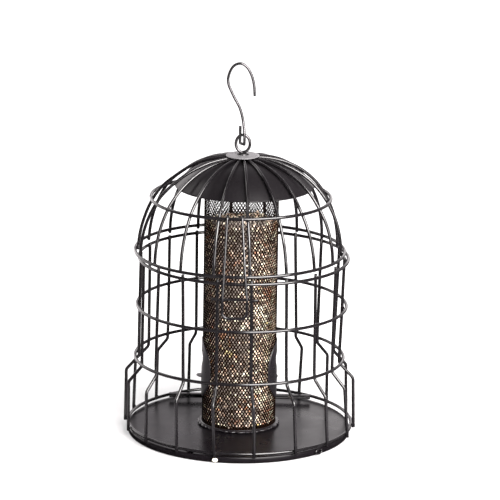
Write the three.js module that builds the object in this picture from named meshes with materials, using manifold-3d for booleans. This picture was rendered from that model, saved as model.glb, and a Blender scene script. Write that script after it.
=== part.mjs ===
// Squirrel proof bird feeder: a mesh seed tube on a tray, inside a cage of wires with a hinged dome.
// Millimetres, +Z up, the latch at the front (-Y) and the hinge at the back. The origin is the middle
// of the circle that the tray stands on.

import * as THREE from 'three';
import { mergeVertices } from 'three/addons/utils/BufferGeometryUtils.js';
import Module from 'manifold-3d';

const wasm = await Module();
wasm.setup();

// Clearances
const seat = 0.3;              // between two pieces that touch
const pivotPlay = 0.5;         // round a wire that another wire swings on
const overrun = 2;             // how far a cutter runs past what it cuts
const weldTolerance = 1e-4;    // points closer than this are one point

// Wire stock
const wireDia = 2.7;           // uprights and hoops
const thinWireDia = 2.3;       // latch, hook and hinge loops
const wireSides = 6;
const bendSteps = 2;           // straight runs in a bend
const wireStub = 2.9;          // how far an upright runs past its end hoop
const wireCount = 18;
const hoopSegments = 3 * wireCount;
const turn = 2 * Math.PI;
const wirePitch = turn / wireCount;

// Cage
const cageRadius = 101.5;      // to the middle of the uprights
const footRadius = 115.3;      // to the middle of their feet
const flareHeight = 15.4;      // from the lower bend to the upper bend
const bendRadius = 6;          // at the middle of the wire
const lowerHoopZ = 78.6;       // the flare starts just below it
const middleHoopRise = 53.6;   // middle hoop above the lower one
const topHoopRise = 102.1;     // top hoop above the lower one
const trayHeight = 6.8;        // edge of the tray above the ground
const baseHoopGap = 2;         // open gap between the tray edge and the base hoop

// Dome
const lidGap = 7.2;            // dome bottom hoop above the cage top hoop
const domeRise = 94.9;         // crown of the wires above the dome bottom hoop
const domeFullnessShare = 2.4; // exponent of the dome outline: 2 is an ellipse, more is squarer
const domeHoopRise = 52.6;     // dome middle hoop above the bottom one
const crownRadius = 9;         // where the dome wires end, round the bolt
const domeWireSteps = 10;
const capSegments = 36;
const capRadius = 16.75;
const capThickness = 1.2;
const baffleSpreadShare = 0.684; // radius of the baffle in that of the cage
const baffleDropShare = 0.274; // fall from its crown to its rim in the rise of the dome
const baffleThickness = 1;
const baffleSteps = 5;
const baffleSegments = 2 * wireCount;

// Eye bolt
const boltDia = 5;
const boltTail = 2;            // thread that shows under the nut
const collarRadius = 6;
const collarThickness = 1.6;
const eyeWireDia = 2.5;
const eyeWidth = 16.4;         // over the wire
const eyeHeight = 20;
const eyeBite = 0.5;           // how deep the eye is sunk in its collar
const eyeTurnShare = 0.96;     // how much of a full turn the eye is bent round
const eyeSteps = 20;
const nutAcross = 9;
const nutThickness = 4;
const nutSides = 6;
const roundSteps = 16;         // sides of a turned piece

// Hook
const hookWidth = 27;          // middle to middle of the wire
const hookRise = 71.7;         // from the wire of the eye to the top of the hook
const hookSpread = 4.7;        // sideways between the two legs of the lower bend
const hookPlay = 0.8;          // between each leg and the wire of the eye
const hookDrop = 5.4;          // from the wire of the eye to the middle of the lower bend
const hookShortLeg = 8;        // free end above the wire of the eye
const hookLineShares = [
  [0.052, 0.105], [-0.067, 0.32], [-0.326, 0.523], [-0.556, 0.706], [-0.563, 0.808], [-0.352, 0.964],
  [-0.141, 1], [0.059, 0.973], [0.207, 0.903], [0.326, 0.816], [0.404, 0.696], [0.43, 0.557],
];
const hookSteps = 24;

// Latch
const latchTopSpread = 14.6;   // between the two loops on the dome middle hoop
const latchSpread = 24;        // between the two legs at the cross bar
const latchBarLength = 48;
const latchBarDrop = 14.2;     // cross bar below the cage top hoop
const latchLoopDrop = 18.6;    // finger loop below the cross bar
const latchBite = 0.5;         // how deep the cross bar is welded into the legs
const latchKneeShare = 0.7;    // how far the legs have spread at the dome bottom hoop
const latchHangShare = 0.76;   // where the wire of a hanging loop begins, in a turn
const loopSteps = 6;

// Hinge loops
const hingeSpread = 24;        // between the two loops
const hingeLapShare = 0.42;    // how far a loop is bent over the dome bottom hoop, in a turn

// Tray
const traySheet = 1.2;
const trayCrown = 1.5;         // how much higher the middle is than the edge
const trayFootWidth = 6;
const trayEdgeWidth = 4;       // width of the rounded edge
const trayTurn = 3.5 * turn / 360;   // the tray and tube were set in a little turned
const tabWidth = 7;
const tabRise = 4.6;
const tabAngle = -22.5 * turn / 360; // from the front
const barWidth = 6;
const barHeight = 4;
const barWall = 1;
const barRib = 0.5;
const barPlaceShare = 0.677;   // how far behind the middle it lies, in the radius of the base hoop

// Tray clip
const clipWireDia = 1.4;
const clipWidth = 8.4;
const clipHeight = 4.2;
const clipLift = 3.9;          // middle of the clip above the ground
const clipAngle = 48 * turn / 360;
const clipTurnShare = 0.9;     // how much of a full turn the wire is bent round
const clipSteps = 14;

// Seed tube
const tubeRadius = 37;
const tubeWall = 1;
const tubeHeight = 243;
const tubeSegments = 40;
const cupWall = 1.6;
const cupHeight = 6.2;
const cupLip = 2.4;            // how far the flange stands out
// Outside of the cup: how far it stands out, in cupLip, and how high, in cupHeight
const cupRimShares = [[0.8, 0], [1, 0.12], [1, 0.45], [0.75, 0.55], [0.25, 0.65], [0, 1]];
const seedDepth = 212;
const seedHeap = 3;
const seedHeapShares = [[1, 0], [0.5, 0.8], [0, 1]];   // of the radius and of the heap

// Seed ports
const portWidth = 42;
const portHeight = 62;
const portLift = 56;           // middle of the port above the foot of the tube
const portWall = 1.5;
const portMouthWidth = 20;
const portMouthHeight = 16;
const portMouthRise = 9;       // middle of the mouth above the middle of the port
const portOutlineSteps = 9;
const portLipReach = 5;
const portLipRootShare = 0.943; // where the lip begins, in the inner radius of the port
const portLipThickness = 1.4;
const portLipRise = -6.8;
const portScoopRise = -16;
const portScoopReach = 3;
const portScoopHeight = 10.7;

// Tube screw
const screwDia = 5;
const screwHeadRadius = 5;
const screwHeadHeight = 2;
const screwHeadTopShare = 0.7; // flat top of the head in its radius
const wingHubRadius = 4.6;
const wingSpan = 22;
const wingThickness = 2;
const wingHeight = 3.6;
const wingHeightShare = 0.8;   // of a wing in the height of the hub

// Places worked out from the sizes above
const hoopOffset = wireDia + seat;
const hoopRadius = cageRadius + hoopOffset;
const baseHoopRadius = footRadius - hoopOffset;
const trayRadius = footRadius - wireDia / 2 - clipWireDia - 2 * seat;
const baffleRadius = cageRadius * baffleSpreadShare;
const baffleDrop = domeRise * baffleDropShare;
const barPlace = baseHoopRadius * barPlaceShare;
const barReach = baseHoopRadius - wireDia / 2 - seat;
const barLength = 2 * Math.sqrt(barReach ** 2 - (barPlace + barWidth / 2) ** 2);
const boltBore = boltDia / 2 + seat;
const screwBore = screwDia / 2 + seat;
const baseHoopZ = trayHeight + baseHoopGap + wireDia / 2;
const flareAngle = Math.atan((footRadius - cageRadius) / flareHeight);
const flareZ = lowerHoopZ - wireDia / 2 - seat - bendRadius * Math.tan(flareAngle / 2);
const topHoopZ = lowerHoopZ + topHoopRise;
const domeFootZ = topHoopZ + lidGap;
const crownZ = domeFootZ + domeRise;
const capZ = crownZ + wireDia / 2 + seat;
const collarZ = capZ + capThickness + seat;
const eyeWireZ = collarZ + collarThickness - eyeBite + eyeHeight - eyeWireDia / 2;
const baffleTopZ = crownZ - wireDia / 2 - seat;
const nutTopZ = baffleTopZ - baffleThickness - seat;
const hookStraddle = eyeWireDia + thinWireDia + 2 * hookPlay;
const loopRadius = wireDia / 2 + pivotPlay + thinWireDia / 2;
const trayTopZ = trayHeight + trayCrown;
const cupZ = trayTopZ + seat;
const tubeZ = cupZ + cupWall + seat;
const latchBarY = cageRadius + hoopOffset + wireDia / 2 + seat + thinWireDia / 2;
const latchLegY = latchBarY + thinWireDia - latchBite;
const latchBarZ = topHoopZ - latchBarDrop;

// Finishes
const finishes = {
  wire: { color: 0x1b1a1c, roughness: 0.42, metalness: 0.35 },
  sheet: { color: 0x2a292c, roughness: 0.5, metalness: 0.35 },
  baffle: { color: 0x262527, roughness: 0.6, metalness: 0.2 },
  cap: { color: 0x5c5b5e, roughness: 0.35, metalness: 0.7 },
  steel: { color: 0x4a494c, roughness: 0.35, metalness: 0.9 },
  mesh: { color: 0x201f20, roughness: 0.55, metalness: 0.4 },
  moulded: { color: 0x1c1b1d, roughness: 0.45, metalness: 0 },
  seed: { color: 0xa9835a, roughness: 0.8, metalness: 0 },
};

const feeder = new THREE.Group();

function add(name, geometry, finish, parent = feeder) {
  const mesh = new THREE.Mesh(geometry, new THREE.MeshStandardMaterial(finishes[finish]));
  mesh.name = name;
  parent.add(mesh);
  return mesh;
}

function number(k) {
  return String(k + 1).padStart(2, '0');
}

// Solids

function solid(geometry) {
  const bare = geometry.clone();
  bare.deleteAttribute('normal');
  bare.deleteAttribute('uv');
  const merged = mergeVertices(bare, weldTolerance);
  return new wasm.Manifold(new wasm.Mesh({
    numProp: 3,
    vertProperties: new Float32Array(merged.attributes.position.array),
    triVerts: new Uint32Array(merged.index.array),
  }));
}

function surface(shape) {
  const mesh = shape.getMesh();
  const geometry = new THREE.BufferGeometry();
  geometry.setAttribute('position', new THREE.BufferAttribute(mesh.vertProperties, 3));
  geometry.setIndex(new THREE.BufferAttribute(mesh.triVerts, 1));
  return geometry;
}

function joined(...geometries) {
  return surface(geometries.map(solid).reduce((whole, piece) => whole.add(piece)));
}

// A closed outline of [radius, height] points turned round the Z axis
function revolved(outline, segments, startAngle = 0) {
  const points = [...outline, outline[0]].map(([r, z]) => new THREE.Vector2(r, z));
  const geometry = new THREE.LatheGeometry(points, segments, startAngle);
  geometry.rotateX(turn / 4);
  return geometry;
}

// A turned solid whose outline starts and ends on the axis
function turned(outline, segments = roundSteps) {
  const geometry = new THREE.LatheGeometry(outline.map(([r, z]) => new THREE.Vector2(r, z)), segments);
  geometry.rotateX(turn / 4);
  return geometry;
}

function tubeShell(inner, outer, low, high, segments = tubeSegments) {
  return revolved([[inner, low], [outer, low], [outer, high], [inner, high]], segments);
}

function polygon(radius, sides) {
  return Array.from({ length: sides }, (_, k) => {
    const angle = turn * k / sides;
    return new THREE.Vector2(radius * Math.cos(angle), radius * Math.sin(angle));
  });
}

// A path of straight runs whose points are the stations of the swept wire
class WirePath extends THREE.Curve {
  constructor(points) {
    super();
    this.points = points;
  }

  getPoint(t, target = new THREE.Vector3()) {
    const last = this.points.length - 1;
    const place = THREE.MathUtils.clamp(t * last, 0, last);
    const run = Math.min(Math.floor(place), last - 1);
    return target.lerpVectors(this.points[run], this.points[run + 1], place - run);
  }

  getPointAt(t, target) {
    return this.getPoint(t, target);
  }

  getTangentAt(t, target) {
    return this.getTangent(t, target);
  }
}

function wireAlong(points, diameter) {
  const section = new THREE.Shape(polygon(diameter / 2, wireSides));
  return new THREE.ExtrudeGeometry(section, {
    steps: points.length - 1,
    extrudePath: new WirePath(points),
    bevelEnabled: false,
  });
}

// Corners of a bent wire rounded with arcs of one radius
function bent(corners, radius, steps) {
  const line = [corners[0]];
  for (let k = 1; k < corners.length - 1; k += 1) {
    const before = corners[k].clone().sub(corners[k - 1]).normalize();
    const after = corners[k + 1].clone().sub(corners[k]).normalize();
    const angle = before.angleTo(after);
    const inward = after.clone().sub(before.clone().multiplyScalar(Math.cos(angle))).normalize();
    const start = corners[k].clone().addScaledVector(before, -radius * Math.tan(angle / 2));
    for (let s = 0; s <= steps; s += 1) {
      const part = angle * s / steps;
      line.push(start.clone().addScaledVector(before, radius * Math.sin(part))
        .addScaledVector(inward, radius * (1 - Math.cos(part))));
    }
  }
  line.push(corners[corners.length - 1]);
  return line;
}

// Points of an arc in the plane of two unit vectors
function arc(centre, radius, from, to, steps, across, up) {
  return Array.from({ length: steps + 1 }, (_, k) => {
    const angle = from + (to - from) * k / steps;
    return centre.clone().addScaledVector(across, radius * Math.cos(angle))
      .addScaledVector(up, radius * Math.sin(angle));
  });
}

const vec = (x, y, z) => new THREE.Vector3(x, y, z);
const outward = vec(0, -1, 0);
const upward = vec(0, 0, 1);
const mirror = vec(-1, 1, 1);

// Cage

function wireAngle(k) {
  return -turn / 4 + wirePitch * (k + 0.5);
}

function hoop(radius, height) {
  const outline = polygon(wireDia / 2, wireSides).map((p) => [radius + p.x, height + p.y]);
  return revolved(outline, hoopSegments, wirePitch / 2);
}

function cageWires() {
  const stopZ = baseHoopZ - wireStub;
  const corners = [
    vec(cageRadius, 0, topHoopZ + wireStub),
    vec(cageRadius, 0, flareZ),
    vec(footRadius, 0, flareZ - flareHeight),
    vec(footRadius, 0, stopZ),
  ];
  for (let k = 0; k < wireCount; k += 1) {
    const upright = wireAlong(bent(corners, bendRadius, bendSteps), wireDia);
    const wire = add(`cage_wire_${number(k)}`, upright, 'wire');
    wire.rotation.z = wireAngle(k);
  }
}

function cageHoops() {
  add('cage_top_ring', hoop(hoopRadius, topHoopZ), 'wire');
  add('cage_middle_ring', hoop(hoopRadius, lowerHoopZ + middleHoopRise), 'wire');
  add('cage_lower_ring', hoop(hoopRadius, lowerHoopZ), 'wire');
  add('cage_base_ring', hoop(baseHoopRadius, baseHoopZ), 'wire');
}

// Dome

// Middle of a dome wire as radius and height, for an angle that runs from the foot to the crown
function domePoint(angle) {
  const radius = cageRadius * Math.cos(angle) ** (2 / domeFullnessShare);
  return [radius, domeFootZ + domeRise * Math.sin(angle)];
}

function domeWires() {
  const endAngle = Math.acos((crownRadius / cageRadius) ** (domeFullnessShare / 2));
  const points = [vec(cageRadius, 0, domeFootZ - wireStub)];
  for (let s = 0; s <= domeWireSteps; s += 1) {
    const [radius, height] = domePoint(endAngle * s / domeWireSteps);
    points.push(vec(radius, 0, height));
  }
  for (let k = 0; k < wireCount; k += 1) {
    const wire = add(`dome_wire_${number(k)}`, wireAlong(points, wireDia), 'wire');
    wire.rotation.z = wireAngle(k);
  }
}

// Where the dome middle hoop lies: square off the wires at its height. The slope of the outline
// comes from its formula.
function domeHoopPlace() {
  const angle = Math.asin(domeHoopRise / domeRise);
  const [radius, height] = domePoint(angle);
  const inwardRun = (2 / domeFullnessShare) * radius * Math.tan(angle);
  const rise = domeRise * Math.cos(angle);
  const length = Math.hypot(inwardRun, rise);
  return [radius + hoopOffset * rise / length, height + hoopOffset * inwardRun / length];
}

const [domeHoopRadius, domeHoopZ] = domeHoopPlace();

function domeHoops() {
  add('dome_middle_ring', hoop(domeHoopRadius, domeHoopZ), 'wire');
  add('dome_bottom_ring', hoop(hoopRadius, domeFootZ), 'wire');
}

function capPlate() {
  add('cap_plate', tubeShell(boltBore, capRadius, capZ, capZ + capThickness, capSegments), 'cap');
}

// A spherical cap of sheet with a bore for the bolt
function roofBaffle() {
  const sphere = (baffleRadius ** 2 + baffleDrop ** 2) / (2 * baffleDrop);
  const top = [];
  for (let s = 0; s <= baffleSteps; s += 1) {
    const radius = boltBore + (baffleRadius - boltBore) * s / baffleSteps;
    top.push([radius, baffleTopZ - sphere + Math.sqrt(sphere ** 2 - radius ** 2)]);
  }
  const under = top.map(([radius, height]) => [radius, height - baffleThickness]);
  add('roof_baffle', revolved([...under, ...top.reverse()], baffleSegments), 'baffle');
}

// Eye bolt and nut

function eyeBolt() {
  const tailZ = nutTopZ - nutThickness - boltTail;
  const collarTopZ = collarZ + collarThickness;
  const shank = turned([
    [0, tailZ], [boltDia / 2, tailZ], [boltDia / 2, collarZ], [collarRadius, collarZ],
    [collarRadius, collarTopZ], [0, collarTopZ],
  ]);
  const across = (eyeWidth - eyeWireDia) / 2;
  const half = (eyeHeight - eyeWireDia) / 2;
  const middle = eyeWireZ - half;
  const line = Array.from({ length: eyeSteps + 1 }, (_, k) => {
    const angle = -turn / 4 + turn * eyeTurnShare * k / eyeSteps;
    return vec(across * Math.cos(angle), 0, middle + half * Math.sin(angle));
  });
  add('eye_bolt', joined(shank, wireAlong(line, eyeWireDia)), 'steel');
}

function eyeNut() {
  const corner = nutAcross / 2 / Math.cos(turn / nutSides / 2);
  const outline = new THREE.Shape(polygon(corner, nutSides));
  outline.holes.push(new THREE.Path(polygon(boltBore, roundSteps)));
  const nut = new THREE.ExtrudeGeometry(outline, { depth: nutThickness, bevelEnabled: false });
  nut.translate(0, 0, nutTopZ - nutThickness);
  add('eye_nut', nut, 'steel');
}

// Hook

function hook() {
  const side = hookSpread / 2;
  const depth = hookStraddle / 2;
  const lowRadius = Math.hypot(side, depth);
  const across = vec(side, -depth, 0).normalize();
  const lowZ = eyeWireZ - hookDrop;
  const low = arc(vec(0, 0, lowZ), lowRadius, -turn / 2, 0, loopSteps, across, upward);
  const line = [vec(-side, depth, eyeWireZ + hookShortLeg), ...low];
  const upper = hookLineShares.map(([x, z], k) => {
    const lean = k === 0 ? -depth / 2 : 0;
    return vec(x * hookWidth, lean, eyeWireZ + z * hookRise);
  });
  const shank = new THREE.CatmullRomCurve3([vec(side, -depth, eyeWireZ), ...upper]);
  line.push(...shank.getSpacedPoints(hookSteps));
  add('s_hook', wireAlong(line, thinWireDia), 'steel');
}

// Hinge loops: open loops of wire round the cage top hoop and the dome bottom hoop

function hingeLoop(name, side) {
  const y = Math.sqrt(hoopRadius ** 2 - side ** 2);
  const low = arc(vec(side, y, topHoopZ), loopRadius, turn / 2, turn, loopSteps, outward, upward);
  const high = arc(vec(side, y, domeFootZ), loopRadius, 0, turn * hingeLapShare, loopSteps, outward, upward);
  add(name, wireAlong([...low, ...high], thinWireDia), 'wire');
}

// Latch: two legs hung on the dome middle hoop, a finger loop between them and a cross bar

function latchLine() {
  const top = latchTopSpread / 2;
  const foot = latchSpread / 2;
  const hangY = Math.sqrt(domeHoopRadius ** 2 - top ** 2);
  const bendZ = domeFootZ - wireDia / 2;
  const lean = Math.atan((latchLegY - hangY) / (domeHoopZ - bendZ));
  const kneeX = top + (foot - top) * latchKneeShare;
  const hang = vec(-top, -hangY, domeHoopZ);
  const eye = arc(hang, loopRadius, turn * latchHangShare, lean, loopSteps, outward, upward);
  const loopZ = latchBarZ - latchLoopDrop;
  const corners = [
    eye[eye.length - 1],
    vec(-kneeX, -latchLegY, bendZ),
    vec(-foot, -latchLegY, latchBarZ),
    vec(-foot, -latchLegY, loopZ),
    vec(foot, -latchLegY, loopZ),
    vec(foot, -latchLegY, latchBarZ),
    vec(kneeX, -latchLegY, bendZ),
    eye[eye.length - 1].clone().multiply(mirror),
  ];
  const other = eye.map((p) => p.clone().multiply(mirror)).reverse();
  return [...eye.slice(0, -1), ...bent(corners, bendRadius, bendSteps), ...other.slice(1)];
}

function latch() {
  const bar = [
    vec(-latchBarLength / 2, -latchBarY, latchBarZ), vec(latchBarLength / 2, -latchBarY, latchBarZ),
  ];
  add('latch', joined(wireAlong(latchLine(), thinWireDia), wireAlong(bar, thinWireDia)), 'wire');
}

// Tray

const trayGroup = new THREE.Group();
trayGroup.rotation.z = trayTurn;
feeder.add(trayGroup);

function trayPan() {
  const wall = trayRadius - traySheet;
  const flat = trayRadius - trayEdgeWidth;
  const round = trayEdgeWidth - traySheet;
  return revolved([
    [trayRadius - trayFootWidth, 0], [trayRadius, 0],
    [trayRadius, trayHeight - round], [trayRadius - traySheet, trayHeight - traySheet],
    [flat, trayHeight], [screwBore, trayTopZ],
    [screwBore, trayTopZ - traySheet], [flat, trayHeight - traySheet],
    [wall, trayHeight - round - traySheet], [wall, traySheet],
    [trayRadius - trayFootWidth, traySheet],
  ], hoopSegments);
}

function tray() {
  const tab = new THREE.BoxGeometry(tabWidth, traySheet, tabRise + traySheet + trayEdgeWidth / 2);
  const hoopInner = baseHoopRadius - wireDia / 2;
  tab.translate(0, -(hoopInner - seat - traySheet), trayHeight - trayEdgeWidth / 4 + tabRise / 2);
  tab.rotateZ(tabAngle - trayTurn);
  add('tray', joined(trayPan(), tab), 'sheet', trayGroup);
}

// A channel bar between two sides of the base hoop, open below, with two ribs along its front
function crossBar() {
  const w = barWidth;
  const h = barHeight;
  const third = h / 3;
  const outline = new THREE.Shape([
    new THREE.Vector2(0, 0), new THREE.Vector2(barWall, 0), new THREE.Vector2(barWall, h - barWall),
    new THREE.Vector2(w - barWall, h - barWall), new THREE.Vector2(w - barWall, 0),
    new THREE.Vector2(w, 0), new THREE.Vector2(w, h), new THREE.Vector2(0, h),
    new THREE.Vector2(-barRib, h - third / 2), new THREE.Vector2(0, h - third),
    new THREE.Vector2(0, 2 * third - third / 2), new THREE.Vector2(-barRib, third / 2),
  ]);
  const bar = new THREE.ExtrudeGeometry(outline, { depth: barLength, bevelEnabled: false });
  bar.rotateX(turn / 4);
  bar.rotateZ(turn / 4);
  bar.translate(-barLength / 2, barPlace - w / 2, baseHoopZ + seat);
  add('tray_cross_bar', bar, 'sheet', trayGroup);
}

// An oval loop of wire that lies on the wall of the tray, under the foot of an upright
function trayClip() {
  const reach = trayRadius + seat + clipWireDia / 2;
  const line = Array.from({ length: clipSteps + 1 }, (_, k) => {
    const angle = turn / 4 + turn * clipTurnShare * k / clipSteps;
    return vec(clipWidth / 2 * Math.cos(angle), -reach, clipLift + clipHeight / 2 * Math.sin(angle));
  });
  const clip = add('tray_clip', wireAlong(line, clipWireDia), 'wire');
  clip.rotation.z = clipAngle;
}

// Seed tube

// A prism along X with a rounded outline in the plane of Y and Z
function sideways(width, height, centreZ, from, to) {
  const outline = new THREE.Shape();
  outline.absellipse(0, 0, width / 2, height / 2, 0, turn, false);
  const points = outline.getPoints(portOutlineSteps);
  points.pop();
  const depth = to - from;
  const prism = new THREE.ExtrudeGeometry(new THREE.Shape(points), { depth, bevelEnabled: false });
  prism.rotateX(turn / 4);
  prism.rotateZ(turn / 4);
  prism.translate(from, 0, centreZ);
  return prism;
}

const portZ = tubeZ + portLift;

function mouthCutter(widen) {
  return sideways(portMouthWidth + widen, portMouthHeight + widen, portZ + portMouthRise,
    -tubeRadius - portWall - overrun, tubeRadius + portWall + overrun);
}

function meshTube() {
  const wall = tubeShell(tubeRadius - tubeWall, tubeRadius, tubeZ, tubeZ + tubeHeight);
  const cut = solid(wall).subtract(solid(mouthCutter(seat)));
  add('mesh_tube', surface(cut), 'mesh', trayGroup);
}

function baseCup() {
  const inner = tubeRadius + seat;
  const outer = inner + cupWall;
  const rim = cupRimShares.map(([out, up]) => [outer + cupLip * out, cupZ + cupHeight * up]);
  add('tube_base_cup', revolved([
    [screwBore, cupZ], ...rim, [inner, cupZ + cupHeight],
    [inner, cupZ + cupWall], [screwBore, cupZ + cupWall],
  ], tubeSegments), 'moulded', trayGroup);
}

function seedPort(name, side) {
  const near = tubeRadius + seat;
  const far = near + portWall;
  const root = near * portLipRootShare;
  const low = portZ - portHeight / 2 - overrun;
  const high = portZ + portHeight / 2 + overrun;
  const plate = solid(tubeShell(near, far, low, high))
    .intersect(solid(sideways(portWidth, portHeight, portZ, 0, far + overrun)));
  const lipShape = new THREE.Shape();
  lipShape.absellipse(0, 0, far + portLipReach - root, portMouthWidth / 2, 0, turn, false);
  const lip = new THREE.ExtrudeGeometry(lipShape, {
    depth: portLipThickness, bevelEnabled: false, curveSegments: loopSteps,
  });
  lip.translate(root, 0, portZ + portLipRise);
  const scoop = new THREE.SphereGeometry(1, 2 * loopSteps, loopSteps);
  scoop.scale(portScoopReach, portMouthWidth / 2, portScoopHeight / 2);
  scoop.translate(far - portWall / 2, 0, portZ + portScoopRise);
  const core = solid(turned([[0, low], [near, low], [near, high], [0, high]], tubeSegments));
  const port = plate.add(solid(lip)).add(solid(scoop)).subtract(core).subtract(solid(mouthCutter(0)));
  const mesh = add(name, surface(port), 'moulded', trayGroup);
  mesh.rotation.z = side > 0 ? 0 : turn / 2;
}

function seedFill() {
  const radius = tubeRadius - tubeWall - seat;
  const low = cupZ + cupWall + screwHeadHeight + 2 * seat;
  const high = low + seedDepth;
  const top = seedHeapShares.map(([out, up]) => [radius * out, high + seedHeap * up]);
  add('seed_fill', turned([[0, low], [radius, low], ...top], roundSteps), 'seed', trayGroup);
}

// Tube screw and wing nut

function tubeScrew() {
  const headZ = cupZ + cupWall + seat;
  const topZ = headZ + screwHeadHeight;
  add('tube_screw', turned([
    [0, seat], [screwDia / 2, seat], [screwDia / 2, headZ], [screwHeadRadius, headZ],
    [screwHeadRadius * screwHeadTopShare, topZ], [0, topZ],
  ]), 'steel', trayGroup);
}

function wingNut() {
  const top = trayTopZ - traySheet - seat;
  const low = top - wingHeight;
  const hub = tubeShell(screwBore, wingHubRadius, low, top, roundSteps);
  const wings = new THREE.BoxGeometry(wingSpan, wingThickness, wingHeight * wingHeightShare);
  wings.translate(0, 0, top - wingHeight / 2);
  const hole = turned([
    [0, low - overrun], [screwBore, low - overrun], [screwBore, top + overrun], [0, top + overrun],
  ]);
  const nut = solid(hub).add(solid(wings)).subtract(solid(hole));
  add('wing_nut', surface(nut), 'steel', trayGroup);
}

cageWires();
cageHoops();
domeWires();
domeHoops();
capPlate();
roofBaffle();
eyeBolt();
eyeNut();
hook();
hingeLoop('hinge_loop_left', -hingeSpread / 2);
hingeLoop('hinge_loop_right', hingeSpread / 2);
latch();
tray();
crossBar();
trayClip();
meshTube();
baseCup();
seedPort('seed_port_left', -1);
seedPort('seed_port_right', 1);
seedFill();
tubeScrew();
wingNut();

export default feeder;
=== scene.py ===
"""Squirrel proof bird feeder: its looks. Lengths are millimetres until a mesh is made."""
import math

import bpy
import numpy as np
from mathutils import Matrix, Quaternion, Vector


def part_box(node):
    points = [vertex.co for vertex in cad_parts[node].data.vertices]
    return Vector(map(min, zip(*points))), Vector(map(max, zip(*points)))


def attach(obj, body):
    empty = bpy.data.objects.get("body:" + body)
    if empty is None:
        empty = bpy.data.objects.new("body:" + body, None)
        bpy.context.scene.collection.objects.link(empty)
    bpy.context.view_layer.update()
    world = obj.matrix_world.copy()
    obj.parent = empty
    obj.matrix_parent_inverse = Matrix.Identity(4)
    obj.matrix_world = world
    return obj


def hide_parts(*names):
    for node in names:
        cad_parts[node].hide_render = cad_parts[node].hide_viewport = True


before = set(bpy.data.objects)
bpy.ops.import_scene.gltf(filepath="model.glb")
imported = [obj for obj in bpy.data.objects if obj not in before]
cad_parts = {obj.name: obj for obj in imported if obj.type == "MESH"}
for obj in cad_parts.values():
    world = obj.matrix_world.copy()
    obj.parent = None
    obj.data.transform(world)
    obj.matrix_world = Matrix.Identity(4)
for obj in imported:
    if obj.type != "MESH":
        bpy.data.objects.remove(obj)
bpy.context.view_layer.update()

MM = 0.001
TURN = 2 * math.pi
WIRE = 1.35            # radius of uprights and hoops, bare
THIN = 1.15            # radius of latch, hook and hinge loops, bare
COATED = 1.60          # the same under their coat
THIN_COATED = 1.35
TOUCH = 0.3            # gap that the solids keep where pieces touch
PLAY = 0.5             # gap round a wire that another wire turns on
COUNT = 18             # uprights
FIRST = math.radians(10)
LEFT_TURN = math.radians(3.5)   # the picture is taken a little from the right
RIGHT = np.array([math.cos(LEFT_TURN), math.sin(LEFT_TURN), 0])
UP = np.array([0.0, 0.0, 1.0])
X_AXIS = np.array([1.0, 0.0, 0.0])
Y_AXIS = np.array([0.0, 1.0, 0.0])


# Places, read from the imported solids

def hoop_place(node):
    """Radius and height of the middle of a hoop's wire."""
    low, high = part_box(node)
    return (high[0] - low[0]) / 2 / MM - WIRE, (high[2] + low[2]) / 2 / MM


def height_range(node):
    low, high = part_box(node)
    return low[2] / MM, high[2] / MM


def reach_of(node):
    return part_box(node)[1][0] / MM


HOOP_R, TOP_HOOP_Z = hoop_place("cage_top_ring")
MIDDLE_HOOP_Z = hoop_place("cage_middle_ring")[1]
LOWER_HOOP_Z = hoop_place("cage_lower_ring")[1]
BASE_HOOP_R, BASE_HOOP_Z = hoop_place("cage_base_ring")
LID_HOOP_Z = hoop_place("dome_bottom_ring")[1]
DOME_HOOP_R, DOME_HOOP_Z = hoop_place("dome_middle_ring")
STEP_OUT = 2 * WIRE + TOUCH
CAGE_R = HOOP_R - STEP_OUT
FOOT_R = BASE_HOOP_R + STEP_OUT
CAP_LOW, CAP_HIGH = height_range("cap_plate")
CROWN_Z = CAP_LOW - TOUCH - WIRE
DOME_RISE = CROWN_Z - LID_HOOP_Z
DOME_FULLNESS = 2.4    # exponent of the dome outline: 2 is an ellipse
CROWN_R = 9            # where the ribs end
STUB = 2.9             # how far an upright runs past its end hoops
BEND_R = 6
FLARE_HEIGHT = 15.4
FLARE_ANGLE = math.atan((FOOT_R - CAGE_R) / FLARE_HEIGHT)
FLARE_Z = LOWER_HOOP_Z - WIRE - TOUCH - BEND_R * math.tan(FLARE_ANGLE / 2)
EYE_WIRE = 1.25
EYE_Z = height_range("eye_bolt")[1] - EYE_WIRE
TUBE_R = 37.0
PORT_Z = sum(height_range("seed_port_left")) / 2


# Mesh makers

class Shell:
    """A surface: vertices, and one table of faces for each number of corners."""

    def __init__(self, points, *faces):
        self.points = np.asarray(points, float).reshape(-1, 3)
        self.faces = [np.asarray(table, int) for table in faces if len(table)]
        if self.volume() < 0:
            self.faces = [table[:, ::-1] for table in self.faces]

    def volume(self):
        """Sum over each face's fan of triangles of the box product of its corners."""
        total = 0.0
        for table in self.faces:
            first = self.points[table[:, 0]]
            for k in range(1, table.shape[1] - 1):
                crossed = np.cross(self.points[table[:, k]], self.points[table[:, k + 1]])
                total += np.einsum("ij,ij->", first, crossed)
        return total


def joined(*shells):
    """Several shells as one, each keeping its own vertices."""
    start = 0
    tables = []
    for shell in shells:
        tables += [table + start for table in shell.faces]
        start += len(shell.points)
    return Shell(np.concatenate([shell.points for shell in shells]), *tables)


def grid_faces(rows, columns, wrap_rows, wrap_columns):
    """Four-sided faces of a grid of points, numbered row by row."""
    a = np.arange(rows if wrap_rows else rows - 1)[:, None]
    b = np.arange(columns if wrap_columns else columns - 1)[None, :]
    a2 = (a + 1) % rows
    b2 = (b + 1) % columns
    corners = [a * columns + b, a2 * columns + b, a2 * columns + b2, a * columns + b2]
    return np.stack([np.broadcast_to(c, (a.size, b.size)).ravel() for c in corners], axis=1)


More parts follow.
